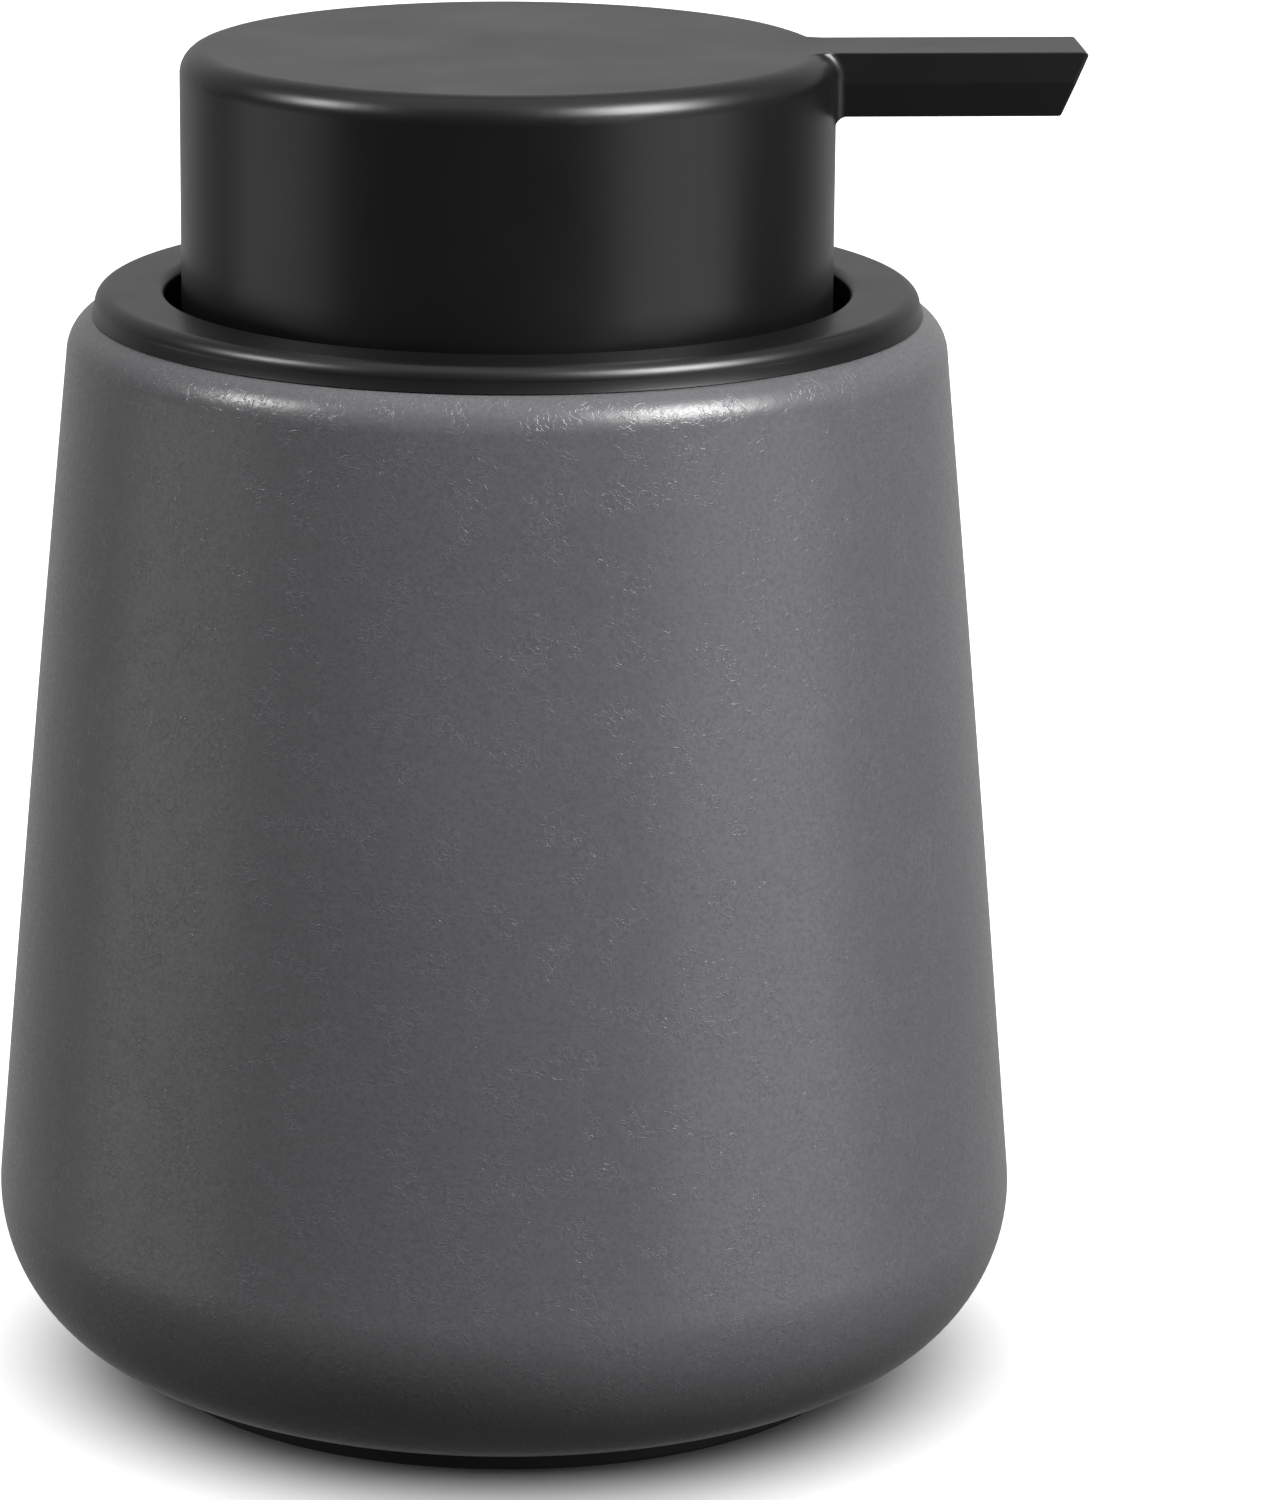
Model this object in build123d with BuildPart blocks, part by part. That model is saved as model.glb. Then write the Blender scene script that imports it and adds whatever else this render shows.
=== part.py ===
from build123d import *
from math import atan2, cos, degrees, radians, sin, sqrt, tan
import os

# Foaming soap dispenser: a tapered ceramic jar, a collar insert that holds a
# two-stage foam pump, and a wide push head that slides in the collar's well.
# Millimetres. +Z is up along the jar's axis, the origin is the centre of the
# surface that the jar stands on, and the spout points along +X.
# In every section sketched on Plane.XZ the first coordinate is the radius.

# ---- driving dimensions -------------------------------------------------
# jar
BODY_R = 45.0  # widest radius, at the belly
SIDE_LEAN = 5.25  # degrees from vertical
BELLY_R = 14.8  # radius of the rounded belly
BELLY_Z = 16.35  # height of the widest point
JAR_TOP_Z = 94.85
SHOULDER_R = 3.6
JAR_WALL = 4.5
MOUTH_R = 32.6
MOUTH_LAND = 10.85  # height of the straight sealing land
MOUTH_TAPER = 2.0  # height of the cone under the land
MOUTH_EDGE = 0.5
PAD_R = 32.2
PAD_T = 2.0
PAD_EDGE_R = 0.4

# collar insert
SEAT_GAP = 0.1  # between the collar and the jar's shoulder
COLLAR_R = 35.95  # where it meets the jar
COLLAR_RIM_R = 35.65  # under its rounded top edge
COLLAR_TOP_Z = 96.85
COLLAR_EDGE_R = 1.3
WELL_R = 29.6
WELL_LIP_R = 0.8
WELL_WALL = 1.6
WELL_FLOOR_Z = 76.0
WELL_FLOOR_T = 2.0
NECK_IN_R = 16.6
NECK_OUT_R = 18.8
NECK_TOP_Z = 88.0
SEAL_Z = 85.5
SEAL_H = 6.0
SEAL_FIT = 0.05
SEAL_BACK_T = 0.7  # also how far its two flanges stand out
SEAL_FLANGE_T = 0.8
SEAL_LIP_T = 0.7
SEAL_LIP_DROP = 1.2  # lips below the thirds of the seal's height
ROOT_LAP = 0.4  # how far an added ring starts inside the wall that carries it

# screw thread between neck and closure
THREAD_PITCH = 4.0
THREAD_DEPTH = 0.8
THREAD_ROOT_W = 2.4  # twice as deep as the ridge, half of it inside the wall
THREAD_TURNS = 1.5
THREAD_FLANK = 60
THREAD_START = 1.0  # above the skirt's lower edge

# pump
GASKET_T = 1.0
FLANGE_T = 1.6
FLANGE_R = 19.0
CAP_IN_R = 19.95
CAP_OUT_R = 22.4
CAP_SKIRT_Z = 79.5
CAP_HOLE_R = 16.1
CAP_RIBS = 40
CAP_RIB_D = 0.9  # half of it stands proud
CAP_RIB_W = 1.2
CAP_EDGE_R = 0.8
AIR_R = 15.0
AIR_FLOOR_Z = 53.5
CYLINDER_WALL = 1.2
LIQUID_R = 4.5
SEAT_BORE_R = 1.5
SEAT_Z = 28.0  # lower edge of the inlet ball's cone
SEAT_WALL = 1.0  # under the lower cylinder's corner
BARB_R = 2.38
BARB_BOTTOM_Z = 20.0
INLET_BALL_R = 2.0
OUTLET_BALL_R = 2.4
BALL_GAP = 0.05
CAGE_LIFT = 2.0  # cage above the inlet cone's upper edge
CAGE_T = 1.2
CAGE_HOLES = 4
CAGE_HOLE_R = 1.0
TUBE_IN_R = 2.4
TUBE_OUT_R = 3.4
TUBE_BOTTOM_Z = 8.5
TUBE_TOP_GAP = 0.2  # between the tube's end and the housing
TUBE_SLANT = 2.0  # tangent of the cut's angle from level
GUIDE_PLUG_H = 0.5  # plug's end above the piston's top
GUIDE_PLUG_T = 1.5
GUIDE_PLUG_W = 1.5
GUIDE_TAPER = 1.0
GUIDE_STEP = 0.4
GUIDE_BOSS_H = 0.8
GUIDE_HOLE_R = 0.6
GUIDE_HOLE_RING_R = 9.75
HOLE_FIT = 0.1
AIR_HOLES = 6

# moving parts
RUNNING_FIT = 0.05
STEM_R = 5.0
STEM_BORE_R = 3.9
ROD_R = 3.4
ROD_BORE_R = 1.8
STEM_TOP_Z = 113.0
STEM_STEP_Z = 78.0  # where the thin rod widens into the stem
ROD_BOTTOM_Z = 50.0
PISTON_BOTTOM_Z = 76.5
PISTON_TOP_Z = 86.0
WIRE_R = 0.45
SPRING_R = 6.3
SPRING_TURNS = 7
SPRING_GAP = 0.05  # at each end
BALL_STOP_GAP = 1.6  # above the outlet ball
BALL_STOP_T = 0.8
BALL_STOP_H = 2.0
MIX_HOLE_R = 0.5
MIX_HOLE_LIFT = 1.0
PISTON_HUB = 2.2  # hub's wall beside the stem
PISTON_HUB_TOP = 1.6
PISTON_WEB_Z = 1.0  # web above the stem's step
PISTON_WEB_T = 1.3
PISTON_LIP_IN = 1.4
PISTON_LIP_T = 0.9
PISTON_WAIST = 0.5
PISTON_LIP_DROP = 2.0  # upper lip below the hub's top
PISTON_HOLE_R = 0.7
PISTON_HOLE_RING_R = 9.3
VALVE_R = 11.55
VALVE_T = 0.5
ROD_PISTON_H = 3.2
ROD_PISTON_LIP_H = 0.6
ROD_PISTON_WAIST = 0.4
CARTRIDGE_H = 11.0
CARTRIDGE_WALL = 0.9
CARTRIDGE_DROP = 0.6  # its top below the stem's end
SCREEN_FIT = 0.1
COARSE_T = 0.3
COARSE_PITCH = 1.0
COARSE_HOLE = 0.6
FINE_T = 0.2
FINE_PITCH = 0.6
FINE_HOLE = 0.35

# push head
HEAD_R = 28.15
HEAD_TOP_Z = 117.6
HEAD_EDGE_R = 2.2
HEAD_PLATE_T = 2.0
HEAD_WALL = 1.65
SKIRT_Z = 92.5
SPOUT_TIP_TOP_X = 49.6
SPOUT_TIP_BOTTOM_X = 47.2
SPOUT_H = 5.5
SPOUT_TOP_W = 8.8
SPOUT_LINE_W = 9.1  # width at the mould line
SPOUT_BOTTOM_W = 8.7
SPOUT_LINE_DROP = 2.6  # mould line below the top
SPOUT_ROOT_X = 23.5
SPOUT_ROOT_R = 1.0
SPOUT_EDGE_R = 0.35
SKIRT_EDGE_R = 0.3
CHANNEL_W = 5.0
CHANNEL_H = 2.5
CHANNEL_WALL = 0.5
CHANNEL_CORNER_R = 0.4
CHANNEL_RECESS = 0.7
CORE_R = 7.0
CORE_BOTTOM_Z = 107.5
CORE_HEADROOM = 0.2  # over the stem's end
CHANNEL_SOCKET = 0.6  # channel's start outside the stem

# ---- derived places -----------------------------------------------------
lean = radians(SIDE_LEAN)
belly_centre = (BODY_R - BELLY_R, BELLY_Z)
foot_angle = degrees(atan2(PAD_T - BELLY_Z, sqrt(BELLY_R**2 - (BELLY_Z - PAD_T) ** 2)))
side_low = (
    belly_centre[0] + BELLY_R * cos(lean),
    belly_centre[1] + BELLY_R * sin(lean),
)
shoulder_z = JAR_TOP_Z - SHOULDER_R
shoulder_r = side_low[0] - (SHOULDER_R + (shoulder_z - side_low[1]) * sin(lean)) / cos(lean)
inner_belly_r = BELLY_R - JAR_WALL
floor_z = BELLY_Z - inner_belly_r
land_bottom_z = JAR_TOP_Z - MOUTH_LAND
under_land_z = land_bottom_z - MOUTH_TAPER
inner_side_r = side_low[0] - JAR_WALL / cos(lean) - (under_land_z - side_low[1]) * tan(lean)

well_out_r = WELL_R + WELL_WALL
well_under_z = WELL_FLOOR_Z - WELL_FLOOR_T
collar_seat_r = SHOULDER_R + SEAT_GAP
collar_seat_angle = degrees(
    atan2(sqrt(collar_seat_r**2 - (COLLAR_R - shoulder_r) ** 2), COLLAR_R - shoulder_r)
)

flange_z = NECK_TOP_Z + GASKET_T
cap_plate_z = flange_z + FLANGE_T
cap_top_z = cap_plate_z + FLANGE_T
cylinder_out_r = AIR_R + CYLINDER_WALL
liquid_out_r = LIQUID_R + CYLINDER_WALL
liquid_floor_z = SEAT_Z + LIQUID_R - SEAT_BORE_R
guide_plug_z = PISTON_TOP_Z + GUIDE_PLUG_H
guide_plug_top_z = guide_plug_z + GUIDE_PLUG_T
guide_step_z = cap_top_z - GUIDE_STEP
guide_top_z = cap_top_z + GUIDE_BOSS_H

head_in_r = HEAD_R - HEAD_WALL
plate_under_z = HEAD_TOP_Z - HEAD_PLATE_T
spout_bottom_z = HEAD_TOP_Z - SPOUT_H
spout_line_z = HEAD_TOP_Z - SPOUT_LINE_DROP
channel_z = plate_under_z - CHANNEL_H / 2
tip_slope = (SPOUT_TIP_TOP_X - SPOUT_TIP_BOTTOM_X) / SPOUT_H

# The slanted plane that ends the spout, facing out and down.
tip_plane = Plane(
    origin=(SPOUT_TIP_TOP_X, 0, HEAD_TOP_Z),
    x_dir=(0, 1, 0),
    z_dir=(1, 0, -tip_slope),
)

os.makedirs("parts", exist_ok=True)


# ---- jar ----------------------------------------------------------------
# The outer wall is a belly arc, a leaning side and a rounded shoulder. The
# cavity keeps the same wall by sharing the belly's centre.
with BuildPart() as ceramic_bottle:
    with BuildSketch(Plane.XZ):
        with BuildLine():
            belly = CenterArc(belly_centre, BELLY_R, foot_angle, SIDE_LEAN - foot_angle)
            shoulder = CenterArc((shoulder_r, shoulder_z), SHOULDER_R, SIDE_LEAN, 90 - SIDE_LEAN)
            Line(belly @ 1, shoulder @ 0)
            Polyline(shoulder @ 1, (0, JAR_TOP_Z), (0, PAD_T), belly @ 0)
        make_face()
    revolve(axis=Axis.Z)
    with BuildSketch(Plane.XZ):
        with BuildLine():
            cavity = CenterArc(belly_centre, inner_belly_r, -90, 90 + SIDE_LEAN)
            Polyline(
                cavity @ 1,
                (inner_side_r, under_land_z),
                (MOUTH_R, land_bottom_z),
                (MOUTH_R, JAR_TOP_Z),
                (0, JAR_TOP_Z),
                (0, floor_z),
                cavity @ 0,
            )
        make_face()
    revolve(axis=Axis.Z, mode=Mode.SUBTRACT)
    mouth_edge = ceramic_bottle.edges().filter_by(GeomType.CIRCLE).group_by(Axis.Z)[-1]
    chamfer(mouth_edge.sort_by(SortBy.RADIUS)[0], MOUTH_EDGE)

ceramic_bottle.part.label = "ceramic_bottle"
export_step(ceramic_bottle.part, "parts/ceramic_bottle.step")


# ---- non-slip pad under the jar -----------------------------------------
with BuildPart() as base_pad:
    with BuildSketch(Plane.XY):
        Circle(PAD_R)
    extrude(amount=PAD_T)
    fillet(base_pad.edges().group_by(Axis.Z)[0], PAD_EDGE_R)

base_pad.part.label = "base_pad"
export_step(base_pad.part, "parts/base_pad.step")


# ---- collar insert ------------------------------------------------------
# One turned section: the rim that rests on the shoulder, the wall and floor
# of the well, and the screw neck that stands up from the floor.
with BuildPart() as collar_insert:
    with BuildSketch(Plane.XZ):
        with BuildLine():
            lip = CenterArc((WELL_R + WELL_LIP_R, COLLAR_TOP_Z - WELL_LIP_R), WELL_LIP_R, 180, -90)
            rim_edge = CenterArc(
                (COLLAR_RIM_R - COLLAR_EDGE_R, COLLAR_TOP_Z - COLLAR_EDGE_R), COLLAR_EDGE_R, 90, -90
            )
            Line(lip @ 1, rim_edge @ 0)
            seat = CenterArc(
                (shoulder_r, shoulder_z), collar_seat_r, collar_seat_angle, 90 - collar_seat_angle
            )
            Line(rim_edge @ 1, seat @ 0)
            Polyline(
                seat @ 1,
                (well_out_r, JAR_TOP_Z + SEAT_GAP),
                (well_out_r, well_under_z),
                (NECK_IN_R, well_under_z),
                (NECK_IN_R, NECK_TOP_Z),
                (NECK_OUT_R, NECK_TOP_Z),
                (NECK_OUT_R, WELL_FLOOR_Z),
                (WELL_R, WELL_FLOOR_Z),
                lip @ 0,
            )
        make_face()
    revolve(axis=Axis.Z)
    # Two low flanges locate the mouth seal on the outside of the well.
    for flange_bottom_z in (SEAL_Z - SEAL_FLANGE_T, SEAL_Z + SEAL_H):
        with BuildSketch(Plane.XY.offset(flange_bottom_z)):
            Circle(well_out_r + SEAL_BACK_T)
            Circle(well_out_r - ROOT_LAP, mode=Mode.SUBTRACT)
        extrude(amount=SEAL_FLANGE_T)
    # Thread ridge on the neck.
    with BuildLine():
        neck_helix = Helix(
            pitch=THREAD_PITCH,
            height=THREAD_PITCH * THREAD_TURNS,
            radius=NECK_OUT_R,
            center=(0, 0, CAP_SKIRT_Z + THREAD_START),
        )
    with BuildSketch(Plane(origin=neck_helix @ 0, x_dir=(1, 0, 0), z_dir=neck_helix % 0)):
        Trapezoid(THREAD_ROOT_W, 2 * THREAD_DEPTH, THREAD_FLANK, rotation=-90)
    sweep(path=neck_helix, is_frenet=True)

collar_insert.part.label = "collar_insert"
export_step(collar_insert.part, "parts/collar_insert.step")


# ---- seals of the insert ------------------------------------------------
# Three soft lips reach out to the mouth's sealing land.
with BuildPart() as mouth_seal:
    with BuildSketch(Plane.XZ):
        with BuildLine():
            Polyline(
                (well_out_r, SEAL_Z),
                (well_out_r + SEAL_BACK_T, SEAL_Z),
                (well_out_r + SEAL_BACK_T, SEAL_Z + SEAL_H),
                (well_out_r, SEAL_Z + SEAL_H),
                close=True,
            )
        make_face()
        lip_reach = MOUTH_R - SEAL_FIT - well_out_r
        lip_heights = [SEAL_Z + SEAL_H * step / 3 - SEAL_LIP_DROP for step in (1, 2, 3)]
        with Locations(*[(well_out_r, lip_height) for lip_height in lip_heights]):
            Rectangle(lip_reach, SEAL_LIP_T, align=(Align.MIN, Align.CENTER))
    revolve(axis=Axis.Z)

mouth_seal.part.label = "mouth_seal"
export_step(mouth_seal.part, "parts/mouth_seal.step")

with BuildPart() as neck_gasket:
    with BuildSketch(Plane.XY.offset(NECK_TOP_Z)):
        Circle(NECK_OUT_R)
        Circle(NECK_IN_R, mode=Mode.SUBTRACT)
    extrude(amount=GASKET_T)

neck_gasket.part.label = "neck_gasket"
export_step(neck_gasket.part, "parts/neck_gasket.step")


# ---- screw closure ------------------------------------------------------
with BuildPart() as screw_closure:
    with BuildSketch(Plane.XY.offset(CAP_SKIRT_Z)):
        Circle(CAP_OUT_R)
        Circle(CAP_IN_R, mode=Mode.SUBTRACT)
    extrude(amount=cap_plate_z - CAP_SKIRT_Z)
    with BuildSketch(Plane.XY.offset(cap_plate_z)):
        Circle(CAP_OUT_R)
        Circle(CAP_HOLE_R, mode=Mode.SUBTRACT)
    extrude(amount=cap_top_z - cap_plate_z)
    cap_rim = screw_closure.edges().group_by(Axis.Z)[-1].sort_by(SortBy.RADIUS)[-1]
    fillet(cap_rim, CAP_EDGE_R)
    # Grip ribs around the skirt.
    with BuildSketch(Plane.XY.offset(CAP_SKIRT_Z)):
        with PolarLocations(CAP_OUT_R, CAP_RIBS):
            Rectangle(CAP_RIB_D, CAP_RIB_W)
    extrude(amount=cap_plate_z - CAP_SKIRT_Z - CAP_RIB_W)

screw_closure.part.label = "screw_closure"
export_step(screw_closure.part, "parts/screw_closure.step")


# ---- pump housing -------------------------------------------------------
# The wide air cylinder, the narrow liquid cylinder under it, the cone that
# seats the inlet ball and the barb that carries the dip tube.
with BuildPart() as pump_housing:
    with BuildSketch(Plane.XZ):
        with BuildLine():
            Polyline(
                (SEAT_BORE_R, BARB_BOTTOM_Z),
                (BARB_R, BARB_BOTTOM_Z),
                (BARB_R, SEAT_Z - SEAT_WALL),
                (liquid_out_r, SEAT_Z),
                (liquid_out_r, AIR_FLOOR_Z - CYLINDER_WALL),
                (cylinder_out_r, AIR_FLOOR_Z - CYLINDER_WALL),
                (cylinder_out_r, flange_z),
                (FLANGE_R, flange_z),
                (FLANGE_R, cap_plate_z),
                (AIR_R, cap_plate_z),
                (AIR_R, AIR_FLOOR_Z),
                (LIQUID_R, AIR_FLOOR_Z),
                (LIQUID_R, liquid_floor_z),
                (SEAT_BORE_R, SEAT_Z),
                close=True,
            )
        make_face()
    revolve(axis=Axis.Z)

pump_housing.part.label = "pump_housing"
export_step(pump_housing.part, "parts/pump_housing.step")


# ---- stem guide ---------------------------------------------------------
# Plugs the top of the air cylinder, and its boss guides the stem. Small
# holes let air back in when the head rises.
with BuildPart() as stem_guide:
    with BuildSketch(Plane.XZ):
        with BuildLine():
            Polyline(
                (STEM_R + RUNNING_FIT, guide_plug_top_z),
                (AIR_R - GUIDE_PLUG_W - GUIDE_TAPER, guide_plug_top_z),
                (AIR_R - GUIDE_PLUG_W, guide_plug_z),
                (AIR_R, guide_plug_z),
                (AIR_R, cap_plate_z),
                (CAP_HOLE_R - HOLE_FIT, cap_plate_z),
                (CAP_HOLE_R - HOLE_FIT, guide_step_z),
                (CORE_R, guide_step_z),
                (CORE_R, guide_top_z),
                (STEM_R + RUNNING_FIT, guide_top_z),
                close=True,
            )
        make_face()
    revolve(axis=Axis.Z)
    with BuildSketch(Plane.XY.offset(guide_plug_z)):
        with PolarLocations(GUIDE_HOLE_RING_R, AIR_HOLES):
            Circle(GUIDE_HOLE_R)
    extrude(amount=cap_top_z - guide_plug_z, mode=Mode.SUBTRACT)

stem_guide.part.label = "stem_guide"
export_step(stem_guide.part, "parts/stem_guide.step")


# ---- inlet valve --------------------------------------------------------
def seated_height(ball_r, bore_r, seat_z):
    """Height of a ball's centre when it rests in a 45 degree cone."""
    return seat_z - bore_r + (ball_r + BALL_GAP) * sqrt(2)


with BuildPart() as inlet_ball:
    with BuildSketch(Plane.XZ):
        with Locations((0, seated_height(INLET_BALL_R, SEAT_BORE_R, SEAT_Z))):
            Circle(INLET_BALL_R)
            Rectangle(INLET_BALL_R, 2 * INLET_BALL_R, align=(Align.MAX, Align.CENTER), mode=Mode.SUBTRACT)
    revolve(axis=Axis.Z)

inlet_ball.part.label = "inlet_ball"
export_step(inlet_ball.part, "parts/inlet_ball.step")

with BuildPart() as inlet_ball_cage:
    with BuildSketch(Plane.XY.offset(liquid_floor_z + CAGE_LIFT)):
        Circle(LIQUID_R)
        with PolarLocations(LIQUID_R - 2 * CAGE_HOLE_R, CAGE_HOLES):
            Circle(CAGE_HOLE_R, mode=Mode.SUBTRACT)
    extrude(amount=CAGE_T)

inlet_ball_cage.part.label = "inlet_ball_cage"
export_step(inlet_ball_cage.part, "parts/inlet_ball_cage.step")


# ---- dip tube, cut at a slant so that it can't seal against the floor ----
with BuildPart() as dip_tube:
    with BuildSketch(Plane.XY.offset(TUBE_BOTTOM_Z)):
        Circle(TUBE_OUT_R)
        Circle(TUBE_IN_R, mode=Mode.SUBTRACT)
    extrude(amount=SEAT_Z - SEAT_WALL - TUBE_TOP_GAP - TUBE_BOTTOM_Z)
    slant = Plane(origin=(TUBE_OUT_R, 0, TUBE_BOTTOM_Z), x_dir=(0, 1, 0), z_dir=(1, 0, TUBE_SLANT))
    split(bisect_by=slant, keep=Keep.TOP)

dip_tube.part.label = "dip_tube"
export_step(dip_tube.part, "parts/dip_tube.step")


# ---- return spring ------------------------------------------------------
spring_low = AIR_FLOOR_Z + WIRE_R + SPRING_GAP
spring_high = PISTON_BOTTOM_Z - WIRE_R - SPRING_GAP
with BuildPart() as return_spring:
    with BuildLine():
        coil = Helix(
            pitch=(spring_high - spring_low) / SPRING_TURNS,
            height=spring_high - spring_low,
            radius=SPRING_R,
            center=(0, 0, spring_low),
        )
    with BuildSketch(Plane(origin=coil @ 0, z_dir=coil % 0)):
        Circle(WIRE_R)
    sweep(path=coil, is_frenet=True)

return_spring.part.label = "return_spring"
export_step(return_spring.part, "parts/return_spring.step")


# ---- stem ---------------------------------------------------------------
# A thin rod below the step carries the liquid piston, the wide part above it
# carries the air piston and the head. The step's cone seats the outlet ball.
stem_cone_top_z = STEM_STEP_Z + STEM_BORE_R - ROD_BORE_R
ball_top_z = seated_height(OUTLET_BALL_R, ROD_BORE_R, STEM_STEP_Z) + OUTLET_BALL_R
with BuildPart() as stem_tube:
    with BuildSketch(Plane.XZ):
        with BuildLine():
            Polyline(
                (ROD_BORE_R, ROD_BOTTOM_Z),
                (ROD_R, ROD_BOTTOM_Z),
                (ROD_R, STEM_STEP_Z),
                (STEM_R, STEM_STEP_Z),
                (STEM_R, STEM_TOP_Z),
                (STEM_BORE_R, STEM_TOP_Z),
                (STEM_BORE_R, stem_cone_top_z),
                (ROD_BORE_R, STEM_STEP_Z),
                close=True,
            )
        make_face()
    revolve(axis=Axis.Z)
    # Three ribs stop the ball, and a cross hole lets the air in to mix.
    with BuildSketch(Plane.XY.offset(ball_top_z + BALL_STOP_GAP)):
        with PolarLocations(0.8 * STEM_BORE_R, 3):
            Rectangle(0.5 * STEM_BORE_R, BALL_STOP_T)
    extrude(amount=BALL_STOP_H)
    with BuildSketch(Plane.XZ.offset(-STEM_R)):
        with Locations((0, stem_cone_top_z + MIX_HOLE_LIFT)):
            Circle(MIX_HOLE_R)
    extrude(amount=2 * STEM_R, mode=Mode.SUBTRACT)

stem_tube.part.label = "stem_tube"
export_step(stem_tube.part, "parts/stem_tube.step")


# ---- pistons ------------------------------------------------------------
hub_r = STEM_R + PISTON_HUB
lip_r = AIR_R
lip_in_r = AIR_R - PISTON_LIP_IN
web_z = STEM_STEP_Z + PISTON_WEB_Z
web_top_z = web_z + PISTON_WEB_T
upper_lip_z = PISTON_TOP_Z - PISTON_LIP_DROP
with BuildPart() as air_piston:
    with BuildSketch(Plane.XZ):
        with BuildLine():
            Polyline(
                (ROD_R, PISTON_BOTTOM_Z),
                (hub_r, PISTON_BOTTOM_Z),
                (hub_r, web_z),
                (lip_in_r, web_z),
                (lip_r - PISTON_LIP_T, PISTON_BOTTOM_Z),
                (lip_r - RUNNING_FIT, PISTON_BOTTOM_Z),
                (lip_r - PISTON_WAIST, web_z + PISTON_WEB_Z),
                (lip_r - RUNNING_FIT, upper_lip_z),
                (lip_r - PISTON_LIP_T, upper_lip_z),
                (lip_in_r, web_top_z),
                (hub_r, web_top_z),
                (STEM_R + PISTON_HUB_TOP, PISTON_TOP_Z),
                (STEM_R, PISTON_TOP_Z),
                (STEM_R, STEM_STEP_Z),
                (ROD_R, STEM_STEP_Z),
                close=True,
            )
        make_face()
    revolve(axis=Axis.Z)
    with BuildSketch(Plane.XY.offset(STEM_STEP_Z)):
        with PolarLocations(PISTON_HOLE_RING_R, AIR_HOLES):
            Circle(PISTON_HOLE_R)
    extrude(amount=web_top_z - STEM_STEP_Z, mode=Mode.SUBTRACT)

air_piston.part.label = "air_piston"
export_step(air_piston.part, "parts/air_piston.step")

with BuildPart() as air_valve_disc:
    with BuildSketch(Plane.XY.offset(web_top_z)):
        Circle(VALVE_R)
        Circle(hub_r, mode=Mode.SUBTRACT)
    extrude(amount=VALVE_T)

air_valve_disc.part.label = "air_valve_disc"
export_step(air_valve_disc.part, "parts/air_valve_disc.step")

rod_piston_top_z = ROD_BOTTOM_Z + ROD_PISTON_H
rod_piston_middle_z = ROD_BOTTOM_Z + ROD_PISTON_H / 2
with BuildPart() as liquid_piston:
    with BuildSketch(Plane.XZ):
        with BuildLine():
            Polyline(
                (ROD_R, ROD_BOTTOM_Z),
                (LIQUID_R - PISTON_WAIST, ROD_BOTTOM_Z),
                (LIQUID_R - RUNNING_FIT, ROD_BOTTOM_Z + ROD_PISTON_LIP_H),
                (LIQUID_R - ROD_PISTON_WAIST, rod_piston_middle_z),
                (LIQUID_R - RUNNING_FIT, 2 * rod_piston_middle_z - ROD_BOTTOM_Z - ROD_PISTON_LIP_H),
                (LIQUID_R - PISTON_WAIST, rod_piston_top_z),
                (ROD_R, rod_piston_top_z),
                close=True,
            )
        make_face()
    revolve(axis=Axis.Z)

liquid_piston.part.label = "liquid_piston"
export_step(liquid_piston.part, "parts/liquid_piston.step")


# ---- outlet valve and foam screens --------------------------------------
with BuildPart() as outlet_ball:
    with BuildSketch(Plane.XZ):
        with Locations((0, seated_height(OUTLET_BALL_R, ROD_BORE_R, STEM_STEP_Z))):
            Circle(OUTLET_BALL_R)
            Rectangle(OUTLET_BALL_R, 2 * OUTLET_BALL_R, align=(Align.MAX, Align.CENTER), mode=Mode.SUBTRACT)
    revolve(axis=Axis.Z)

outlet_ball.part.label = "outlet_ball"
export_step(outlet_ball.part, "parts/outlet_ball.step")

cartridge_top_z = STEM_TOP_Z - CARTRIDGE_DROP
cartridge_bottom_z = cartridge_top_z - CARTRIDGE_H
with BuildPart() as mesh_cartridge:
    with BuildSketch(Plane.XY.offset(cartridge_bottom_z)):
        Circle(STEM_BORE_R)
        Circle(STEM_BORE_R - CARTRIDGE_WALL, mode=Mode.SUBTRACT)
    extrude(amount=CARTRIDGE_H)

mesh_cartridge.part.label = "mesh_cartridge"
export_step(mesh_cartridge.part, "parts/mesh_cartridge.step")

with BuildPart() as coarse_mesh:
    with BuildSketch(Plane.XY.offset(cartridge_bottom_z - COARSE_T)):
        Circle(STEM_BORE_R - SCREEN_FIT)
        with GridLocations(COARSE_PITCH, COARSE_PITCH, 5, 5):
            Rectangle(COARSE_HOLE, COARSE_HOLE, mode=Mode.SUBTRACT)
    extrude(amount=COARSE_T)

coarse_mesh.part.label = "coarse_mesh"
export_step(coarse_mesh.part, "parts/coarse_mesh.step")

with BuildPart() as fine_mesh:
    with BuildSketch(Plane.XY.offset(cartridge_top_z)):
        Circle(STEM_BORE_R - SCREEN_FIT)
        with GridLocations(FINE_PITCH, FINE_PITCH, 9, 9):
            Rectangle(FINE_HOLE, FINE_HOLE, mode=Mode.SUBTRACT)
    extrude(amount=FINE_T)

fine_mesh.part.label = "fine_mesh"
export_step(fine_mesh.part, "parts/fine_mesh.step")


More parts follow.
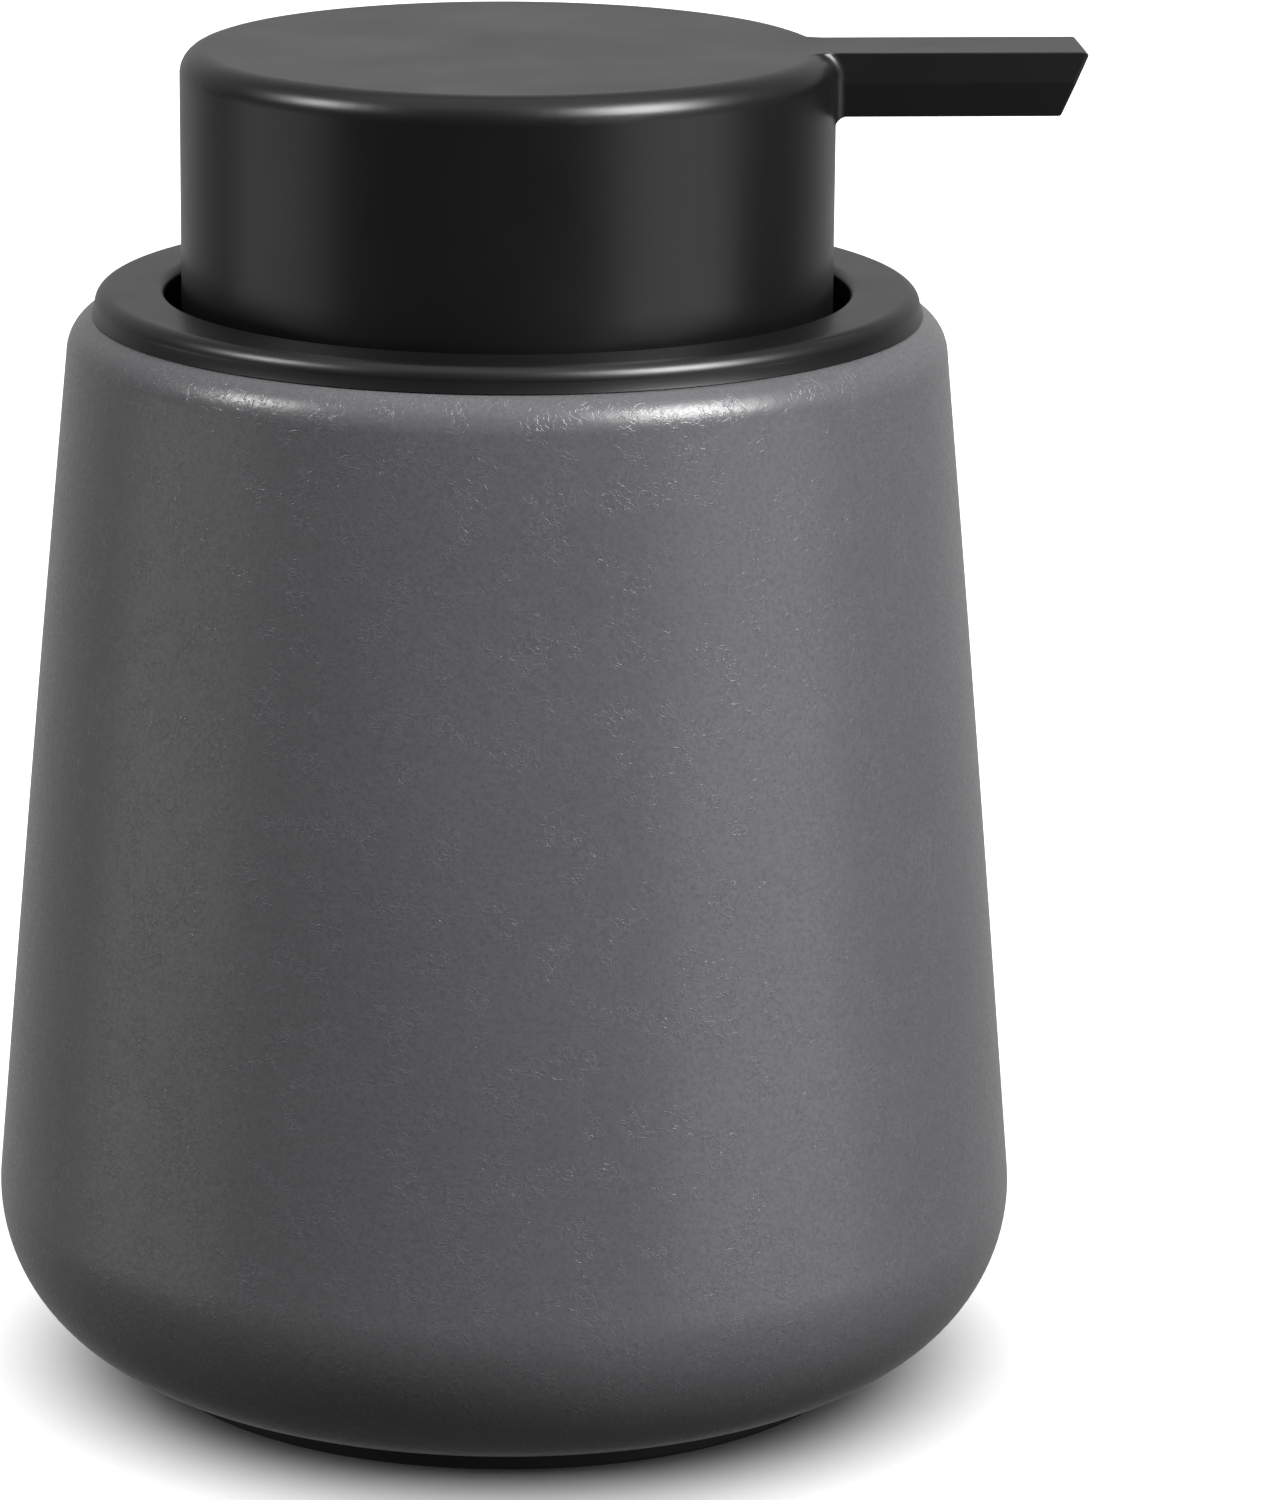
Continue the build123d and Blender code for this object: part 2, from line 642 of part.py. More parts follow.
# ---- head core ----------------------------------------------------------
# Socket that turns on the stem, with a chamber above the stem's end and a
# side boss that receives the foam channel.
with BuildPart() as head_core:
    with BuildSketch(Plane.XZ):
        with BuildLine():
            Polyline(
                (STEM_R + RUNNING_FIT, CORE_BOTTOM_Z),
                (CORE_R, CORE_BOTTOM_Z),
                (CORE_R, plate_under_z),
                (STEM_BORE_R, plate_under_z),
                (STEM_BORE_R, STEM_TOP_Z + CORE_HEADROOM),
                (STEM_R + RUNNING_FIT, STEM_TOP_Z + CORE_HEADROOM),
                close=True,
            )
        make_face()
    revolve(axis=Axis.Z)
    with BuildSketch(Plane.YZ):
        with Locations((0, channel_z)):
            Rectangle(CHANNEL_W, CHANNEL_H)
    extrude(amount=2 * CORE_R, mode=Mode.SUBTRACT)

head_core.part.label = "head_core"
export_step(head_core.part, "parts/head_core.step")


# ---- foam channel -------------------------------------------------------
with BuildPart() as nozzle_insert:
    with BuildSketch(Plane.YZ.offset(STEM_R + CHANNEL_SOCKET)):
        with Locations((0, channel_z)):
            RectangleRounded(CHANNEL_W, CHANNEL_H, CHANNEL_CORNER_R)
            Rectangle(CHANNEL_W - 2 * CHANNEL_WALL, CHANNEL_H - 2 * CHANNEL_WALL, mode=Mode.SUBTRACT)
    extrude(amount=SPOUT_TIP_TOP_X)
    split(bisect_by=tip_plane.offset(-CHANNEL_RECESS), keep=Keep.BOTTOM)

nozzle_insert.part.label = "nozzle_insert"
export_step(nozzle_insert.part, "parts/nozzle_insert.step")


# ---- push head ----------------------------------------------------------
# A deep cup with a rounded rim and a flat spout, level with the top. The
# spout is widest at its mould line, and its end is cut back underneath.
def ends_the_spout(edge):
    """True for the edges around the slanted end of the spout."""
    return edge.bounding_box().min.X > SPOUT_TIP_BOTTOM_X - SPOUT_ROOT_R and edge.length > 2


def joins_the_skirt(edge):
    """True for the edges where the spout's outside meets the head's side."""
    middle = edge.center()
    outside = HEAD_R - SPOUT_ROOT_R * 1.2 < middle.X < HEAD_R
    return outside and middle.Z > spout_bottom_z - 0.1 and abs(middle.Y) < SPOUT_LINE_W / 2


with BuildPart() as pump_head:
    with BuildSketch(Plane.YZ.offset(SPOUT_ROOT_X)):
        with BuildLine():
            Polyline(
                (-SPOUT_BOTTOM_W / 2, spout_bottom_z),
                (SPOUT_BOTTOM_W / 2, spout_bottom_z),
                (SPOUT_LINE_W / 2, spout_line_z),
                (SPOUT_TOP_W / 2, HEAD_TOP_Z),
                (-SPOUT_TOP_W / 2, HEAD_TOP_Z),
                (-SPOUT_LINE_W / 2, spout_line_z),
                close=True,
            )
        make_face()
    extrude(amount=SPOUT_TIP_TOP_X)
    split(bisect_by=tip_plane, keep=Keep.BOTTOM)
    with BuildSketch(Plane.XZ):
        with BuildLine():
            rim = CenterArc((HEAD_R - HEAD_EDGE_R, HEAD_TOP_Z - HEAD_EDGE_R), HEAD_EDGE_R, 0, 90)
            Polyline(
                rim @ 1,
                (0, HEAD_TOP_Z),
                (0, plate_under_z),
                (head_in_r, plate_under_z),
                (head_in_r, SKIRT_Z),
                (HEAD_R, SKIRT_Z),
                rim @ 0,
            )
        make_face()
    revolve(axis=Axis.Z)
    # The tip is softened first, then the root blends into the skirt. The
    # long top edges stay crisp.
    fillet(pump_head.edges().filter_by(ends_the_spout), SPOUT_EDGE_R)
    fillet(pump_head.edges().filter_by(joins_the_skirt), SPOUT_ROOT_R)
    fillet(pump_head.edges().group_by(Axis.Z)[0], SKIRT_EDGE_R)
    # Bore for the foam channel.
    with BuildSketch(Plane.YZ.offset(CORE_R)):
        with Locations((0, channel_z)):
            RectangleRounded(CHANNEL_W, CHANNEL_H, CHANNEL_CORNER_R)
    extrude(amount=SPOUT_TIP_TOP_X, mode=Mode.SUBTRACT)

pump_head.part.label = "pump_head"
export_step(pump_head.part, "parts/pump_head.step")
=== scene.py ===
import logging
import math
from dataclasses import dataclass, field
from enum import Enum
from typing import Callable, Optional

import bmesh
import bpy
from mathutils import Matrix, Vector, noise


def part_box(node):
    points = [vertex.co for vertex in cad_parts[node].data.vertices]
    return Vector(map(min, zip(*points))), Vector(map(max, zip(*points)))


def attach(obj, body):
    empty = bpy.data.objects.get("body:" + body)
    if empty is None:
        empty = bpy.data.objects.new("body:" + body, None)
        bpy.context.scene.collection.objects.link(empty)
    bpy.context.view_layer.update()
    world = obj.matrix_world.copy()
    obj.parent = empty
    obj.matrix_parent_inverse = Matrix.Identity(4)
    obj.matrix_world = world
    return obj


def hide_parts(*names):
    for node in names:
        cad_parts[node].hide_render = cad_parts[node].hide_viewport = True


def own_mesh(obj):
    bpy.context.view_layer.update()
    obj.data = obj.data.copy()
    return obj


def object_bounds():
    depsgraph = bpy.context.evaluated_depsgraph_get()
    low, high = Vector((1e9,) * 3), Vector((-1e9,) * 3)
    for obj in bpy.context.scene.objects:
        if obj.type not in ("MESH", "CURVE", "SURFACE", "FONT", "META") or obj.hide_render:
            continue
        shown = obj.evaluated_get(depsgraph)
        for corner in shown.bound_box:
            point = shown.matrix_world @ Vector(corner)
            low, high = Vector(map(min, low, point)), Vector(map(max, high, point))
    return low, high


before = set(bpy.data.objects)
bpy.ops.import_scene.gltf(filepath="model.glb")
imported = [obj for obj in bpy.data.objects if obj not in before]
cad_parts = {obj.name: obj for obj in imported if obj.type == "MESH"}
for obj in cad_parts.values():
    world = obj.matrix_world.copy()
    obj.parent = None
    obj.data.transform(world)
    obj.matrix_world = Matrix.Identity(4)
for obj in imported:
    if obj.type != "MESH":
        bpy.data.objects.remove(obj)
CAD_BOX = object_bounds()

# A foaming soap dispenser: a matt glazed stoneware jar, a black collar set in
# its mouth and a wide push head over a foam pump. Metres, +Z up, the spout
# points along +X, and the front is -Y.

LOG = logging.getLogger("soap_dispenser")
MM = 0.001
SAME_POINT = 0.001 * MM
SHARP_DEG = 35
Point2 = tuple[float, float]


# ---- small helpers ------------------------------------------------------
def linear(hex_code: str) -> tuple[float, float, float, float]:
    """Turns an sRGB hex colour into the linear values that shaders use.

    Args:
        hex_code: The colour as "#RRGGBB".

    Returns:
        Linear red, green and blue, and 1 for alpha.
    """
    channels = [int(hex_code[i : i + 2], 16) / 255 for i in (1, 3, 5)]
    red, green, blue = (
        c / 12.92 if c <= 0.04045 else ((c + 0.055) / 1.055) ** 2.4 for c in channels
    )
    return red, green, blue, 1.0


def add_node(
    tree: bpy.types.NodeTree,
    kind: str,
    settings: Optional[dict] = None,
    links: Optional[dict] = None,
) -> bpy.types.Node:
    """Adds one node with its settings and its incoming links.

    Args:
        tree: The node tree that receives the node.
        kind: The node's type without its "ShaderNode" prefix.
        settings: Property names, input names or input numbers, with values.
        links: Input names or numbers, with the sockets that feed them.

    Returns:
        The new node.
    """
    node = tree.nodes.new("ShaderNode" + kind)
    for name, value in (settings or {}).items():
        if isinstance(name, str) and hasattr(node, name):
            setattr(node, name, value)
        else:
            node.inputs[name].default_value = value
    for name, socket in (links or {}).items():
        tree.links.new(socket, node.inputs[name])
    return node


def empty_material(name: str) -> tuple[bpy.types.Material, bpy.types.NodeTree]:
    """Makes a material with no nodes and returns it with its tree."""
    material = bpy.data.materials.new(name)
    material.use_nodes = True
    material.node_tree.nodes.clear()
    return material, material.node_tree


def close_tree(tree: bpy.types.NodeTree, surface: bpy.types.Node) -> None:
    """Feeds a surface shader to the tree's output."""
    add_node(tree, "OutputMaterial", links={"Surface": surface.outputs[0]})


def grain(
    tree: bpy.types.NodeTree, place: bpy.types.NodeSocket, size_mm: float, **settings: float
) -> bpy.types.NodeSocket:
    """Adds a noise whose spots are of a real size.

    Args:
        tree: The node tree that receives it.
        place: The point on the piece.
        size_mm: The size of the spots.
        settings: The noise's other inputs, by name.

    Returns:
        The socket that gives the noise, about 0.5 on the mean.
    """
    scale = {"Scale": 1 / (size_mm * MM), **settings}
    return add_node(tree, "TexNoise", scale, {"Vector": place}).outputs["Fac"]


def spread(
    tree: bpy.types.NodeTree,
    value: bpy.types.NodeSocket,
    to: Point2,
    within: Point2 = (0.3, 0.7),
) -> bpy.types.NodeSocket:
    """Spreads a value over a range, and holds it at the ends.

    Args:
        tree: The node tree that receives the node.
        value: The socket that gives the value.
        to: What the ends of the range become.
        within: The range of the value that is used.

    Returns:
        The socket that gives the result.
    """
    ends = {"From Min": within[0], "From Max": within[1], "To Min": to[0], "To Max": to[1]}
    return add_node(tree, "MapRange", ends, {"Value": value}).outputs["Result"]


def raised(
    tree: bpy.types.NodeTree,
    height: bpy.types.NodeSocket,
    depth_mm: float,
    normal: Optional[bpy.types.NodeSocket] = None,
    strength: float = 1.0,
) -> bpy.types.NodeSocket:
    """Raises a height on the surface.

    Args:
        tree: The node tree that receives the node.
        height: The socket that gives the height, from 0 to 1.
        depth_mm: How far 1 stands above 0.
        normal: The normal that it starts from, or None for the mesh's own.
        strength: How much of it is taken.

    Returns:
        The new normal.
    """
    feeds = {"Height": height}
    if normal is not None:
        feeds["Normal"] = normal
    size = {"Strength": strength, "Distance": depth_mm * MM}
    return add_node(tree, "Bump", size, feeds).outputs["Normal"]


# ---- finishes -----------------------------------------------------------
@dataclass(frozen=True)
class MattGlazedStoneware:
    """Slip-cast stoneware under a grey matt glaze, fired to a satin skin.

    The glaze gives soft wide highlights that a faint orange peel breaks up,
    and thin crooked ridges where it crystallised.
    """

    body_hex: str = "#575759"
    speck_hex: str = "#4F4F51"
    line_hex: str = "#5C5C5F"
    roughness: float = 0.31
    roughness_spread: float = 0.05
    ior: float = 1.5
    speck_mm: float = 0.35
    speck_band: Point2 = (0.36, 0.56)
    cloud_mm: float = 16.0
    cloud_spread: float = 0.035
    line_spacing_mm: float = 0.8
    line_width: float = 0.04
    line_patch_mm: float = 3.0
    line_patch_least: float = 0.15
    line_patch_band: Point2 = (0.42, 0.62)
    line_height_mm: float = 0.016
    peel_mm: float = 1.0
    peel_depth_mm: float = 0.024
    speck_depth_mm: float = 0.005

    def crystal_lines(
        self, tree: bpy.types.NodeTree, place: bpy.types.NodeSocket
    ) -> bpy.types.NodeSocket:
        """Draws thin crooked lines that come and go in patches.

        Args:
            tree: The glaze's node tree.
            place: The point on the piece.

        Returns:
            A socket that is 1 on a line and 0 between lines.
        """
        waves = grain(tree, place, self.line_spacing_mm, Detail=1.5, Distortion=0.9)
        shifted = add_node(tree, "Math", {"operation": "SUBTRACT", 1: 0.5}, {0: waves})
        away = add_node(tree, "Math", {"operation": "ABSOLUTE"}, {0: shifted.outputs[0]})
        line = spread(tree, away.outputs[0], (1.0, 0.0), (0.0, self.line_width))
        patch_noise = grain(tree, place, self.line_patch_mm, Detail=2.0)
        patch = spread(tree, patch_noise, (self.line_patch_least, 1.0), self.line_patch_band)
        lines = add_node(tree, "Math", {"operation": "MULTIPLY"}, {0: line, 1: patch})
        return lines.outputs[0]

    def material(self) -> bpy.types.Material:
        """Builds the glaze."""
        made, tree = empty_material("matt_glazed_stoneware")
        place = add_node(tree, "TexCoord").outputs["Object"]
        lines = self.crystal_lines(tree, place)
        speck = grain(tree, place, self.speck_mm, Detail=2.0, Roughness=0.6)
        cloud = grain(tree, place, self.cloud_mm, Detail=4.0, Roughness=0.55)
        ground = add_node(tree, "ValToRGB", links={"Fac": speck})
        shades = zip(self.speck_band, (self.speck_hex, self.body_hex))
        for stop, (position, shade_hex) in zip(ground.color_ramp.elements, shades):
            stop.position = position
            stop.color = linear(shade_hex)
        veined = add_node(
            tree,
            "Mix",
            {"data_type": "RGBA", 7: linear(self.line_hex)},
            {0: lines, 6: ground.outputs["Color"]},
        )
        shade = spread(tree, cloud, (1 - self.cloud_spread, 1 + self.cloud_spread))
        colour = add_node(
            tree, "VectorMath", {"operation": "SCALE"}, {0: veined.outputs[2], "Scale": shade}
        )
        rough, more = self.roughness, self.roughness_spread
        gloss = spread(tree, speck, (rough + more, rough - more))
        peel = grain(tree, place, self.peel_mm, Detail=2.0, Roughness=0.5)
        normal = raised(tree, peel, self.peel_depth_mm)
        normal = raised(tree, lines, self.line_height_mm, normal)
        normal = raised(tree, speck, self.speck_depth_mm, normal)
        surface = add_node(
            tree,
            "BsdfPrincipled",
            {"IOR": self.ior},
            {"Base Color": colour.outputs["Vector"], "Roughness": gloss, "Normal": normal},
        )
        close_tree(tree, surface)
        return made


@dataclass(frozen=True)
class MouldedPlastic:
    """A thermoplastic or silicone moulding with a fine tool texture.

    The spark-eroded tool leaves a fine pebble that spreads the highlights,
    and slow flow marks that shift the gloss a little.
    """

    name: str
    colour_hex: str
    roughness: float
    ior: float
    pebble_mm: float
    pebble_depth_mm: float
    flow_mm: float = 14.0
    tone_spread: float = 0.08
    gloss_spread: float = 0.03
    edge_round_mm: float = 0.0
    subsurface_mm: float = 0.0
    subsurface_share: float = 0.6
    transmission: float = 0.0

    def material(self) -> bpy.types.Material:
        """Builds the moulding's surface."""
        made, tree = empty_material(self.name)
        place = add_node(tree, "TexCoord").outputs["Object"]
        pebble = grain(tree, place, self.pebble_mm, Detail=2.0, Roughness=0.55)
        flow = grain(tree, place, self.flow_mm, Detail=3.0, Distortion=0.4)
        tone = spread(tree, flow, (1 - self.tone_spread, 1 + self.tone_spread))
        colour = add_node(
            tree,
            "VectorMath",
            {"operation": "SCALE", 0: linear(self.colour_hex)[:3]},
            {"Scale": tone},
        )
        rough, more = self.roughness, self.gloss_spread
        gloss = spread(tree, flow, (rough - more, rough + more))
        start = None
        if self.edge_round_mm > 0:
            rounding = {"samples": 8, "Radius": self.edge_round_mm * MM}
            start = add_node(tree, "Bevel", rounding).outputs["Normal"]
        surface = add_node(
            tree,
            "BsdfPrincipled",
            {
                "IOR": self.ior,
                "Transmission Weight": self.transmission,
                "Subsurface Weight": self.subsurface_share if self.subsurface_mm else 0.0,
                "Subsurface Scale": self.subsurface_mm * MM,
                "Subsurface Radius": (1.0, 1.0, 1.0),
            },
            {
                "Base Color": colour.outputs["Vector"],
                "Roughness": gloss,
                "Normal": raised(tree, pebble, self.pebble_depth_mm, start),
            },
        )
        close_tree(tree, surface)
        return made


@dataclass(frozen=True)
class DrawnStainless:
    """Stainless wire and balls: bright metal with fine drawing lines."""

    name: str = "drawn_stainless"
    colour_hex: str = "#C9C8C6"
    roughness: float = 0.22
    roughness_less: float = 0.06
    roughness_more: float = 0.08
    line_mm: float = 0.15
    line_depth_mm: float = 0.003
    line_strength: float = 0.6
    line_stretch: tuple[float, float, float] = (0.15, 0.15, 1.0)

    def material(self) -> bpy.types.Material:
        """Builds the metal, whose lines are long round the axis."""
        made, tree = empty_material(self.name)
        place = add_node(tree, "TexCoord").outputs["Object"]
        stretch = add_node(tree, "Mapping", {"Scale": self.line_stretch}, {"Vector": place})
        lines = grain(tree, stretch.outputs["Vector"], self.line_mm, Detail=2.0)
        rough = self.roughness
        gloss = spread(tree, lines, (rough - self.roughness_less, rough + self.roughness_more))
        normal = raised(tree, lines, self.line_depth_mm, strength=self.line_strength)
        surface = add_node(
            tree,
            "BsdfPrincipled",
            {"Base Color": linear(self.colour_hex), "Metallic": 1.0},
            {"Roughness": gloss, "Normal": normal},
        )
        close_tree(tree, surface)
        return made


class Finish(Enum):
    """The finishes of the dispenser, one for each real material."""

    # Matt glazed stoneware: a warm grey satin, finely crazed with ridges.
    STONEWARE = MattGlazedStoneware()
    # Matt moulded ABS: near black, with satin highlights on its rounded rims.
    BLACK_ABS = MouldedPlastic(
        name="matt_moulded_abs",
        colour_hex="#0C0C0D",
        roughness=0.34,
        ior=1.5,
        pebble_mm=0.22,
        pebble_depth_mm=0.004,
    )
    # The same ABS on the head, where the tool's parting edges are broken by hand.
    HEAD_ABS = MouldedPlastic(
        name="matt_moulded_abs_broken_edges",
        colour_hex="#0C0C0D",
        roughness=0.34,
        ior=1.5,
        pebble_mm=0.22,
        pebble_depth_mm=0.004,
        edge_round_mm=0.2,
    )
    # Moulded silicone foot pad: duller and softer than the ABS.
    PAD_SILICONE = MouldedPlastic(
        name="moulded_silicone_pad",
        colour_hex="#1C1C1E",
        roughness=0.62,
        ior=1.41,
        pebble_mm=0.35,
        pebble_depth_mm=0.010,
    )
    # Clear moulded silicone seals: milky, with light passing the thin lips.
    SEAL_SILICONE = MouldedPlastic(
        name="moulded_silicone_seal",
        colour_hex="#D9DAD6",
        roughness=0.40,
        ior=1.41,
        pebble_mm=0.30,
        pebble_depth_mm=0.004,
        subsurface_mm=1.5,
        transmission=0.25,
    )
    # Black moulded polypropylene closure: a waxier, slightly greyer black.
    BLACK_POLYPROPYLENE = MouldedPlastic(
        name="moulded_polypropylene_black",
        colour_hex="#222224",
        roughness=0.42,
        ior=1.49,
        pebble_mm=0.30,
        pebble_depth_mm=0.006,
    )
    # Natural moulded polypropylene: milky white pump parts.
    WHITE_POLYPROPYLENE = MouldedPlastic(
        name="moulded_polypropylene_natural",
        colour_hex="#DEDEDA",
        roughness=0.32,
        ior=1.49,
        pebble_mm=0.40,
        pebble_depth_mm=0.004,
        subsurface_mm=2.0,
        transmission=0.15,
    )
    # Extruded polyethylene dip tube: hazy and see-through.
    POLYETHYLENE = MouldedPlastic(
        name="extruded_polyethylene_tube",
        colour_hex="#E4E6E4",
        roughness=0.28,
        ior=1.51,
        pebble_mm=0.50,
        pebble_depth_mm=0.003,
        subsurface_mm=1.0,
        transmission=0.55,
    )
    # Woven nylon screens: fine pale threads.
    NYLON = MouldedPlastic(
        name="woven_nylon_screen",
        colour_hex="#E6E6E2",
        roughness=0.45,
        ior=1.53,
        pebble_mm=0.12,
        pebble_depth_mm=0.010,
    )
    # Drawn stainless wire and polished balls: bright, with soft glints.
    STAINLESS = DrawnStainless()


class Paints:
    """Builds each finish once and puts it on pieces."""

    def __init__(self) -> None:
        """Starts with no material built."""
        self.made: dict[Finish, bpy.types.Material] = {}

    def dress(self, piece: bpy.types.Object, finish: Finish) -> None:
        """Gives a piece one finish all over.

        Args:
            piece: The piece, new or from the CAD model.
            finish: The finish it takes.
        """
        if finish not in self.made:
            self.made[finish] = finish.value.material()
        if not piece.material_slots:
            piece.data.materials.append(self.made[finish])
        for place in piece.material_slots:
            place.material = self.made[finish]


# ---- turned shapes ------------------------------------------------------
@dataclass
class Outline:
    """A half section of a turned piece, as radius and height in metres."""

    step: float = 2.1 * MM
    arc_step_deg: float = 6.0
    points: list[Point2] = field(default_factory=list)

    def start(self, r: float, z: float) -> "Outline":
        """Sets the first point."""
        self.points = [(r, z)]
        return self

    def to(self, r: float, z: float) -> "Outline":
        """Adds a straight run, with a point at each step.

        Args:
            r: The radius at its end.
            z: The height at its end.

        Returns:
            This outline.
        """
        r0, z0 = self.points[-1]
        count = max(1, round(math.hypot(r - r0, z - z0) / self.step))
        for i in range(1, count + 1):
            t = i / count
            self.points.append((r0 + (r - r0) * t, z0 + (z - z0) * t))
        return self

    def arc(self, centre: Point2, radius: float, first: float, last: float) -> "Outline":
        """Adds an arc, and first a straight run to where it begins.

        Args:
            centre: Radius and height of its centre.
            radius: The arc's radius.
            first: The angle of its first point, in degrees from +r.
            last: The angle of its last point.

        Returns:
            This outline.
        """
        count = max(3, math.ceil(abs(last - first) / self.arc_step_deg))
        for i in range(count + 1):
            angle = math.radians(first + (last - first) * i / count)
            r, z = centre[0] + radius * math.cos(angle), centre[1] + radius * math.sin(angle)
            if i > 0 or not self.points:
                self.points.append((r, z))
            elif math.dist(self.points[-1], (r, z)) > 10 * SAME_POINT:
                self.to(r, z)
        return self


def as_piece(mesh: bmesh.types.BMesh, name: str) -> bpy.types.Object:
    """Turns a finished mesh into a smooth piece with crisp corners.

    Args:
        mesh: The mesh, which is used up.
        name: The new piece's name.

    Returns:
        The new piece, linked to the scene.
    """
    bmesh.ops.recalc_face_normals(mesh, faces=mesh.faces)
    data = bpy.data.meshes.new(name)
    mesh.to_mesh(data)
    mesh.free()
    data.shade_smooth()
    data.set_sharp_from_angle(angle=math.radians(SHARP_DEG))
    piece = bpy.data.objects.new(name, data)
    bpy.context.scene.collection.objects.link(piece)
    return piece


def turned(
    outline: Outline,
    segments: int,
    relief: Optional[Callable[[Vector], float]] = None,
) -> bmesh.types.BMesh:
    """Turns a closed half section about Z into one closed mesh.

    Args:
        outline: The half section, as radius and height.
        segments: How many faces go round.
        relief: How far each point moves outwards, in metres.

    Returns:
        The new mesh.
    """
    points = outline.points
    if math.dist(points[0], points[-1]) < SAME_POINT:
        points = points[:-1]
    mesh = bmesh.new()
    rings: list[list[bmesh.types.BMVert]] = []
    for r, z in points:
        if r < SAME_POINT:
            rings.append([mesh.verts.new((0, 0, z))])
            continue
        ring = []
        for i in range(segments):
            angle = 2 * math.pi * i / segments
            place = Vector((r * math.cos(angle), r * math.sin(angle), z))
            if relief is not None:
                place += Vector((math.cos(angle), math.sin(angle), 0)) * relief(place)
            ring.append(mesh.verts.new(place))
        rings.append(ring)
    for low, high in zip(rings, rings[1:] + rings[:1]):
        if len(low) == 1 and len(high) == 1:
            continue
        for i in range(segments):
            j = (i + 1) % segments
            corners = [low[i % len(low)], low[j % len(low)]]
            corners += [high[j % len(high)], high[i % len(high)]]
            # A point on the axis stands for two corners, and is named once.
            mesh.faces.new(list(dict.fromkeys(corners)))
    return mesh


def sweep(mesh: bmesh.types.BMesh, path: list[Vector], profile: list[Point2]) -> None:
    """Sweeps a closed profile along a path that winds about Z.

    Args:
        mesh: The mesh that gets the closed sweep.
        path: The points that the profile follows.
        profile: Its corners, outwards and along Z, from the path.
    """
    rings, last, count = [], len(path) - 1, len(profile)
    for i, place in enumerate(path):
        ahead = path[min(i + 1, last)] - path[max(i - 1, 0)]
        out = Vector((place.x, place.y, 0)).normalized()
        up = out.cross(ahead).normalized()
        rings.append([mesh.verts.new(place + out * x + up * y) for x, y in profile])
    for first, second in zip(rings, rings[1:]):
        for k in range(count):
            j = (k + 1) % count
            mesh.faces.new((first[k], first[j], second[j], second[k]))
    mesh.faces.new(rings[0])
    mesh.faces.new(list(reversed(rings[-1])))


@dataclass
class Maker:
    """What every sub-assembly needs: the paints and a list of its pieces."""

    paints: Paints
    made: list[str] = field(default_factory=list)

    def finish_piece(
        self, piece: bpy.types.Object, body: str, slot: str, finish: Finish, *nodes: str
    ) -> None:
        """Dresses a new piece, rides it on its body and hides its CAD node.

        Args:
            piece: The new piece.
            body: The body it moves with.
            slot: Not used.
            finish: Its finish.
            nodes: The CAD nodes it stands for.
        """
        self.paints.dress(piece, finish)
        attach(piece, body)
        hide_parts(*nodes)
        self.made.append(piece.name)

    def dress_node(self, node: str, slot: str, finish: Finish) -> None:
        """Gives a CAD node its finish."""
        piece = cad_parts[node]
        self.paints.dress(piece, finish)
        self.made.append(node)


